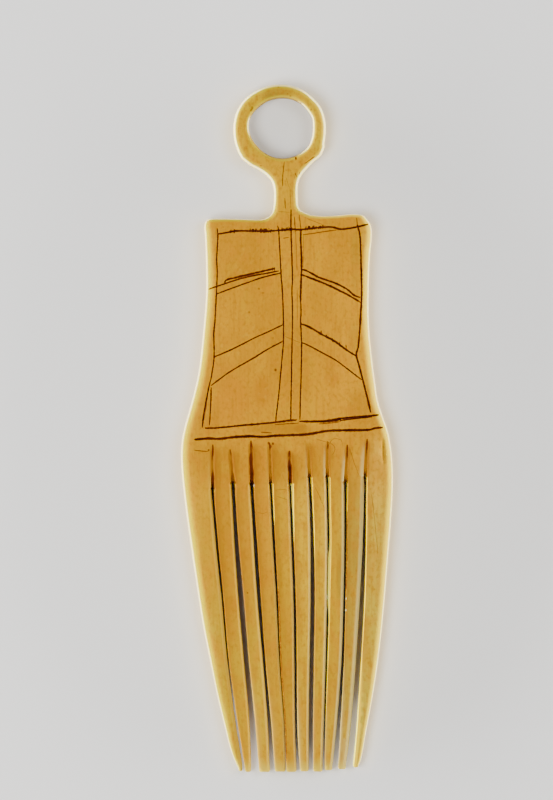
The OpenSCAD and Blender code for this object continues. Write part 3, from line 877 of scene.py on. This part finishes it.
def graver_tree():
    tree = bpy.data.node_groups.new("graver", "GeometryNodeTree")
    for name, kind in SOCKETS.items():
        tree.interface.new_socket(name, in_out="INPUT", socket_type="NodeSocket" + kind)
    tree.interface.new_socket("Geometry", in_out="OUTPUT", socket_type="NodeSocketGeometry")
    given = tree.nodes.new("NodeGroupInput")
    start = Flow(tree)
    sources = (Flow(tree, given.outputs[name]) for name in SOCKETS)
    geometry, lines, name, half, depth, ragged, rag_size, ivory = sources
    drawn_lines = start.node("GeometryNodeObjectInfo", (), {"Object": lines}, "Geometry")
    dots = start.node("GeometryNodeCurveToPoints", {"mode": "LENGTH"},
                      {"Curve": drawn_lines, "Length": half * DOT_STEP})
    place = start.node("GeometryNodeInputPosition")
    radius = start.node("GeometryNodeInputRadius")
    over = start.vector("MULTIPLY", place, (1, 1, 0))
    nearest = start.node("GeometryNodeSampleNearest", {"domain": "POINT"},
                         {"Geometry": dots, "Sample Position": over})
    dot, press = (
        start.node("GeometryNodeSampleIndex", {"data_type": kind, "domain": "POINT"},
                   {"Geometry": dots, "Value": value, "Index": nearest})
        for kind, value in (("FLOAT_VECTOR", place), ("FLOAT", radius))
    )
    front, before = (
        start.node("GeometryNodeInputNamedAttribute", {"data_type": "FLOAT"}, {"Name": mark})
        for mark in ("front", name)
    )
    gap = start.vector("DISTANCE", over, dot, output="Value")
    rag = start.node("ShaderNodeTexNoise", {"noise_dimensions": "3D"}, {"Vector": dot, "Scale": 1 / rag_size})
    wide = half * (LEAST_WIDTH + PRESSED_WIDTH * press) * (1 + (rag - 0.5) * ragged * 2)
    ratio = gap / wide
    fall = (1 - ratio).most(0) * depth * press * front
    offset = start.node("ShaderNodeCombineXYZ", (), {"Z": fall * -1})
    sunk = start.node("GeometryNodeSetPosition", (), {"Geometry": geometry, "Offset": offset})
    kept = before.least(ratio + (1 - front) * FAR_OFF)
    marked = start.node("GeometryNodeStoreNamedAttribute", {"data_type": "FLOAT", "domain": "POINT"},
                        {"Geometry": sunk, "Name": name, "Value": kept})
    real = start.node("GeometryNodeRealizeInstances", (), {"Geometry": marked})
    done = start.node("GeometryNodeSetMaterial", (), {"Geometry": real, "Material": ivory})
    result = tree.nodes.new("NodeGroupOutput")
    tree.links.new(done.socket, result.inputs["Geometry"])
    return tree


def line_curves(name, lines):
    """Curves along the drawn lines, their radius the graver's press."""
    curves = bpy.data.curves.new(name, "CURVE")
    curves.dimensions = "3D"
    for rows, _ in lines:
        spline = curves.splines.new("POLY")
        spline.points.add(len(rows) - 1)
        for point, (x, y, press) in zip(spline.points, rows):
            point.co = (x * MM, y * MM, 0, 1)
            point.radius = press
    return placed(name, curves)


# the walls the saw left meet the face at a sharp edge, the worn edges run smoothly into it
worn_walls = [bool(row[3] == WORN) for loop in loops for row in loop]
body_mesh.polygons.foreach_set("use_smooth", [True] * (len(faces) - len(side_walls)) + worn_walls)
uncut = placed("uncut", body_mesh)
ivory = bpy.data.materials.new("old_ivory")
graver = graver_tree()
RAG_SIZE = 0.5
line_objects = []
for grade, (half, depth, ragged, mark, _) in GRADES.items():
    curves = line_curves(grade + "_lines", drawn[grade])
    line_objects.append(curves)
    cutting = uncut.modifiers.new(grade, "NODES")
    cutting.node_group = graver
    values = (curves, mark, half * MM, depth * MM, ragged, RAG_SIZE * MM, ivory)
    given = dict(zip(list(SOCKETS)[1:], values))
    for socket in graver.interface.items_tree:
        if socket.in_out == "INPUT" and socket.name in given:
            cutting[socket.identifier] = given[socket.name]
depsgraph = bpy.context.evaluated_depsgraph_get()
comb_mesh = bpy.data.meshes.new_from_object(uncut.evaluated_get(depsgraph), depsgraph=depsgraph)
comb_mesh.name = "carved_comb"
for spent in (uncut, *line_objects):
    bpy.data.objects.remove(spent)
comb = placed("carved_comb", comb_mesh)
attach(comb, "root")
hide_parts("comb")

# Old ivory. It is honey yellow, close-grained and polished by handling. The light that shines through its
# worn edges is painted on them as a pale yellow and cream glow. Dirt and oil have stained the cuts and
# grooves brown.
HONEY = (0.475, 0.212, 0.001, 1)
DEEP_HONEY = (0.31, 0.125, 0.001, 1)
PALE_HONEY = (0.56, 0.253, 0.002, 1)
STRAW = (0.49, 0.265, 0.001, 1)
GOLD = (0.49, 0.24, 0.001, 1)
LEMON = (0.46, 0.305, 0.001, 1)
GREY_STRAW = (0.37, 0.235, 0.018, 1)
AMBER = (0.33, 0.125, 0.001, 1)
BROWN = (0.25, 0.09, 0.001, 1)
ORANGE = (0.46, 0.17, 0.001, 1)
DEEP_ORANGE = (0.40, 0.15, 0.001, 1)
OLIVE = (0.28, 0.16, 0.01, 1)
CREAM = (0.62, 0.37, 0.03, 1)
PALE_CREAM = (0.62, 0.51, 0.18, 1)
EDGE_YELLOW = (0.35, 0.285, 0.0003, 1)
EDGE_CREAM = (0.60, 0.44, 0.025, 1)
HIGHLIGHT_AND_CHIP_CREAM = (0.94, 0.83, 0.4, 1)
TIP_YELLOW = (0.62, 0.48, 0.05, 1)
LIT_FLANK_YELLOW = (0.80, 0.54, 0.002, 1)
LIT_YELLOW = (1, 0.86, 0.10, 1)
SHADED = (0.205, 0.12, 0.014, 1)
RUST = (0.11, 0.017, 0.001, 1)
DIRT = (0.026, 0.002, 0.001, 1)
# from the first tooth on the left to the last, above and near the tips
UPPER_TEETH = [
    (0.44, 0.235, 0.001, 1), (0.44, 0.205, 0.001, 1), (0.43, 0.2, 0.001, 1), (0.49, 0.235, 0.001, 1),
    (0.52, 0.285, 0.001, 1), (0.58, 0.34, 0.001, 1), (0.6, 0.35, 0.001, 1), (0.47, 0.26, 0.001, 1),
    (0.4, 0.26, 0.02, 1), (0.52, 0.335, 0.022, 1),
]
LOWER_TEETH = [
    (0.42, 0.27, 0.001, 1), (0.47, 0.275, 0.001, 1), (0.47, 0.295, 0.001, 1), (0.45, 0.235, 0.001, 1),
    (0.44, 0.235, 0.001, 1), (0.5, 0.295, 0.001, 1), (0.51, 0.3, 0.001, 1), (0.46, 0.265, 0.001, 1),
    (0.41, 0.27, 0.02, 1), (0.48, 0.355, 0.02, 1),
]

ivory.use_nodes = True
ivory.node_tree.nodes.clear()
start = Flow(ivory.node_tree)
place = start.node("ShaderNodeTexCoord", (), (), "Object")
flat = start.vector("MULTIPLY", place, (1 / MM, 1 / MM, 0))
across = start.node("ShaderNodeSeparateXYZ", (), {0: flat}, "X")
along = start.node("ShaderNodeSeparateXYZ", (), {0: flat}, "Y")


def mark(name):
    return start.node("ShaderNodeAttribute", {"attribute_name": name}, (), "Fac")


def mix(part, one, other):
    """One colour where part is 0, the other where it is 1."""
    return start.node("ShaderNodeMix", {"data_type": "RGBA"}, {0: part, 6: one, 7: other}, 2)


def cloud(size, stretch=1, detail=2):
    """Soft noise with patches of about the given size in millimetres, the stretch times as long."""
    scale = 1 / (size * MM)
    laid = start.node("ShaderNodeMapping", (), {"Vector": place, "Scale": (scale, scale / stretch, scale)})
    return start.node("ShaderNodeTexNoise", (), {"Vector": laid, "Scale": 1, "Detail": detail}, 0)


# a patch is at its full strength within this part of its half breadth and half length
PATCH_MIDDLE = 0.35


def patch(x, y, breadth, length):
    """1 in the middle of an oval patch of the given half breadth and half length, 0 outside it."""
    away = start.vector("SUBTRACT", flat, (x, y, 0))
    away = start.vector("DIVIDE", away, (breadth, length, 1))
    return start.vector("LENGTH", away, output="Value").rise(1, PATCH_MIDDLE)


# Columns of a patch: middle, half breadth, half length, strength, colour. The cream patches by the right edge
# are painted highlight, the olive and shaded ones on the top of the ring painted shade
PATCHES = [
    (-4.4, 6.4, 2.2, 3.8, 0.7, DEEP_ORANGE), (7.8, 8.6, 1.8, 1.8, 0.5, DEEP_ORANGE),
    (-1.5, -0.1, 8, 1.5, 0.6, DEEP_HONEY), (2.4, 0, 1.4, 1.2, 0.6, AMBER),
    (-1.2, -6, 2.4, 4.5, 0.5, DEEP_HONEY), (-9.5, 5, 4.5, 6.5, 0.6, ORANGE),
    (-4.8, -6.5, 1.7, 5, 0.6, ORANGE), (-16, -8, 3.5, 12, 0.6, GOLD),
    (-12, -6, 5.5, 6.5, 0.4, DEEP_HONEY), (12, 29, 1.3, 8, 0.4, OLIVE),
    (11.6, 16, 1.3, 4, 0.3, OLIVE), (-1.6, 58.8, 3.6, 1.9, 0.75, OLIVE),
    (-8.6, 51, 1.2, 4.5, 0.6, GOLD), (-7.2, 51, 0.6, 4, 0.4, ORANGE),
    (-2, 58, 3.2, 1, 0.6, SHADED), (9.3, -25.5, 0.9, 7, 0.6, OLIVE),
    (12.2, -24, 1, 9, 0.3, OLIVE), (15.6, -8, 2.2, 9, 0.6, CREAM),
    (14.3, 33, 1.6, 4, 0.4, CREAM),
]
# Columns of a chip: middle, half breadth, half length
CHIPS = [
    (-12.85, -10.6, 0.15, 0.35), (-5.8, -9.95, 0.15, 0.35), (7.1, -21.6, 0.2, 0.4), (7.05, -29.6, 0.2, 0.8),
    (7, -31.6, 0.15, 0.5), (10.35, -29.8, 0.08, 0.25), (10.3, -31.8, 0.08, 0.3),
]
# Columns of a pit: middle, half breadth, half length, strength
PITS = [
    (-4.9, 24.4, 0.3, 0.25, 0.6), (-4.2, 23.7, 0.25, 0.2, 0.5), (-6.6, 20.3, 0.25, 0.25, 0.5),
    (-2, 10.2, 0.3, 0.35, 0.9), (-2.4, 15.8, 0.2, 0.3, 0.4), (-6.1, 56, 0.3, 0.5, 0.6),
    (-6.3, 55.6, 0.25, 0.3, 0.6), (1.55, 47.2, 0.25, 0.4, 1), (1.3, 47.6, 0.4, 0.2, 0.8),
    (0.6, 58.1, 0.25, 0.15, 0.8), (0.1, 58.5, 0.2, 0.15, 0.5), (2.4, 56.9, 0.2, 0.2, 0.6),
    (4.2, 55.7, 0.2, 0.25, 0.7), (-1.5, 59.7, 0.25, 0.15, 0.6), (-4.6, 45.9, 0.3, 0.15, 0.7),
    (2.2, 44.6, 0.15, 0.35, 0.6), (-6.9, -28.8, 0.2, 0.2, 0.9), (-13.7, -3.8, 0.25, 0.25, 0.8),
    (-3.2, -2.6, 0.3, 0.35, 0.9), (-2.45, -2.7, 0.3, 0.35, 0.9), (-2.85, -3.2, 0.3, 0.5, 0.9),
]
edge, front, flank = mark("edge"), mark("front"), mark("flank")
# places on the comb, in millimetres: 0 up to the first, 1 from the second on
on_right, near_right = across.rise(-4, 14), across.rise(-8, 12)
on_neck, on_ring = along.rise(35, 41), along.rise(46, 50)
on_teeth, low_on_teeth = along.rise(-4, -16), along.rise(-22, -42)
from_hole = start.vector("DISTANCE", flat, (*HOLE_CENTRE, 0), output="Value")
ring_window, ring_top = patch(-6.9, 53, 1.2, 2.4), patch(-1, 60.4, 6, 3.4)
# the teeth, each with a colour of its own
tooth = [
    start.node("ShaderNodeValToRGB", {"stops": [(n / 9, shade) for n, shade in enumerate(shades)]},
               {"Fac": mark("tooth")})
    for shades in (UPPER_TEETH, LOWER_TEETH)
]
tooth = mix(low_on_teeth, *tooth)
tooth = mix(mark("across").rise(0.35, 0.9) * mark("tooth").rise(0.55, 0.85) * 0.5, tooth, GREY_STRAW)
tooth = mix(cloud(3, 3).rise(0.45, 0.7) * 0.45, tooth, ORANGE)
# mottling. Columns: size, stretch and detail of the clouds, none at, full at, strength, colour
flecked = along.rise(40, 46) * 0.25 + 0.6
speckled = along.rise(43, 47) * 0.45 + along.rise(-4, -9) * 0.2
MOTTLES = [
    (2.4, 1.3, 2, 0.48, 0.7, 0.4, ORANGE), (3.2, 1.6, 2, 0.42, 0.3, 0.35, STRAW),
    (0.5, 14, 3, 0.45, 0.75, 0.35, DEEP_HONEY), (0.55, 1.4, 5, 0.45, 0.75, flecked, DEEP_HONEY),
    (0.7, 1.2, 3, 0.45, 0.25, 0.15, CREAM), (0.3, 1.2, 4, 0.58, 0.72, speckled, BROWN),
]
# painted highlight on the worn edges, a pale glow ending in cream at the rim, but for the left rim of the
# hole, which has painted shade instead, and the top of the ring; also the painted cream highlight on the
# slots' bevels
pale_colour = mix(near_right, CREAM, PALE_CREAM)
edge_colour = mix(across.rise(-4, 12), EDGE_YELLOW, EDGE_CREAM)
shaded = from_hole.rise(6.9, 6.3) * across.rise(3.5, 1.5) * (1 - ring_window * 0.7)
clear = (edge - along.rise(37, 40) * 0.2).rise(0.28, 0.05) * (1 - shaded) * front.rise(0.5, 0.95)
clear = clear * (edge.rise(0, 0.1) * 0.5 + 0.5) * (1 - ring_top * 0.6)
chips = sum(patch(*chip) for chip in CHIPS)
# dirt in the pits, cuts and grooves, and dirt with painted shade along the slot walls, with ragged limits
pits = sum(patch(*place) * strength for *place, strength in PITS).least(1)
ragged = (cloud(0.35, 1, 3) - 0.5) * 0.9
cut, score, hair = (mark(name) + ragged for name in ("cut", "score", "hair"))
soot = mark("soot") + (cloud(0.5, 2.5, 3) - 0.5) * 0.5
stain = (mark("stain") + ragged * 2).rise(1.3, 0.5)
# layers of colour, each over those before it. Columns: how much of it shows, colour
layers = [
    (on_right * 0.7, PALE_HONEY),
    (cloud(7, 1.6).rise(0.42, 0.7) * 0.4, DEEP_HONEY),
    (on_neck * 0.75, STRAW),
    (on_ring * 0.8, LEMON),
    (on_teeth, tooth),
]
layers += [(patch(*place) * strength, shade) for *place, strength, shade in PATCHES]
layers += [(cloud(*grain).rise(none, full) * most, shade) for *grain, none, full, most, shade in MOTTLES]
layers += [
    (mark("amber"), AMBER),
    # painted shade beside the slots
    (mark("brown"), BROWN),
    # painted cream highlight on the slots' left bevels and by the tips
    (mark("pale").rise(0, 0.8) * (along.rise(-4, -12) * 0.35 + 0.35), pale_colour),
    # painted light: the yellow and cream glow of the worn edges, painted shade on the left rim of the hole,
    # then the cream highlight at the rim
    (edge.rise(1.1, 0.35) * 0.85, edge_colour),
    (shaded * edge.rise(0.7, 0.2), GREY_STRAW),
    ((1 - front) * edge.rise(1.2, 0.6) * 0.6, STRAW),
    (clear, HIGHLIGHT_AND_CHIP_CREAM),
    (along.rise(-57.5, -60.2) * 0.6, TIP_YELLOW),
    # painted highlight on the right flanks of the slots
    (flank.rise(0.05, 0.3), LIT_FLANK_YELLOW),
    (flank.rise(0.5, 0.9), LIT_YELLOW),
    (chips.least(1), HIGHLIGHT_AND_CHIP_CREAM),
    (hair.rise(1.3, 0.5) * 0.5, RUST),
    (score.rise(1.4, 0.6) * 0.85, RUST),
    (cut.rise(1.5, 0.9), RUST),
    (cut.rise(1, 0.5) * (cloud(3).rise(0.35, 0.6) * 0.4 + 0.6), DIRT),
    # dirt and painted shade along the slot walls, and dirt in the pits
    ((stain * 0.8).most(pits), RUST),
    (soot.rise(0.15, 0.55), RUST),
    (soot.rise(0.7, 1.1), DIRT),
]
base = HONEY
for share, shade in layers:
    base = mix(share, base, shade)
# the polish, dull where dirt lies and glossy on the worn edges that carry the painted highlight
rough = 0.4 + cloud(1.2, 3).rise(0.3, 0.8) * 0.1 + (cut.rise(1.5, 0.8) + soot.rise(0.2, 0.7)).least(1) * 0.3
height = cloud(0.45, 10, 3) * 0.6 + cloud(0.16, 1) * 0.4 - pits * 2
bump = start.node("ShaderNodeBump", (), {"Strength": 0.2, "Distance": 0.00005, "Height": height})
shine = (edge.rise(0.36, 0.2) * (1 - shaded) * front).most(flank.rise(0.2, 0.7) * 0.3)
skin = start.node("ShaderNodeBsdfPrincipled", {"subsurface_method": "RANDOM_WALK"}, {
    "Base Color": base, "Roughness": rough, "Normal": bump, "IOR": 1.54, "Specular IOR Level": 0.08,
    "Specular Tint": (1, 0.75, 0.3, 1), "Subsurface Weight": 0.25,
    "Subsurface Radius": (1, 0.55, 0.18), "Subsurface Scale": 0.0008,
    "Coat Weight": shine, "Coat Roughness": 0.25, "Coat Tint": (1, 0.97, 0.85, 1),
})
output = ivory.node_tree.nodes.new("ShaderNodeOutputMaterial")
ivory.node_tree.links.new(skin.socket, output.inputs["Surface"])

# Floor and light. The floor is plain and pale. Two soft lights hang over the comb, and a long low
# strip stands far off on each side and lights the worn edges, the left one the stronger. The
# strips aren't seen in the polish.
FLOOR_REACH = 1.6
FLOOR_DROP = 0.00002

floor_mesh = bpy.data.meshes.new("floor")
corners = [(x * FLOOR_REACH, y * FLOOR_REACH, -FLOOR_DROP) for x, y in ((-1, -1), (1, -1), (1, 1), (-1, 1))]
floor_mesh.from_pydata(corners, [], [(0, 1, 2, 3)])
floor = placed("floor", floor_mesh)
floor_paint = bpy.data.materials.new("pale_floor")
floor_paint.use_nodes = True
floor_shader = floor_paint.node_tree.nodes["Principled BSDF"]
floor_shader.inputs["Base Color"].default_value = (0.8, 0.79, 0.77, 1)
floor_shader.inputs["Roughness"].default_value = 0.8
floor_mesh.materials.append(floor_paint)

# Columns of a light: name, place, width, height, power, seen in the polish, all in metres and watts
LIGHTS = [
    ("key", (-0.25, -0.10, 0.50), 0.3, 0.3, 3.4, True),
    ("fill", (0.30, 0.15, 0.50), 0.3, 0.3, 1.8, True),
    ("left strip", (-0.70, -0.01, 0.055), 1.1, 0.07, 35.0, False),
    ("right strip", (0.70, 0.01, 0.055), 1.1, 0.07, 23.5, False),
]
for name, spot, width, height, power, polish in LIGHTS:
    light = bpy.data.lights.new(name, "AREA")
    light.shape = "RECTANGLE"
    light.size, light.size_y = width, height
    light.energy = power
    lamp = placed(name, light)
    lamp.location = spot
    lamp.rotation_euler = (-Vector(spot)).to_track_quat("-Z", "Y").to_euler()
    lamp.visible_glossy = polish

world = bpy.data.worlds.new("soft grey")
world.use_nodes = True
world.node_tree.nodes["Background"].inputs["Color"].default_value = (1.0, 0.97, 0.92, 1)
world.node_tree.nodes["Background"].inputs["Strength"].default_value = 0.15
bpy.context.scene.world = world
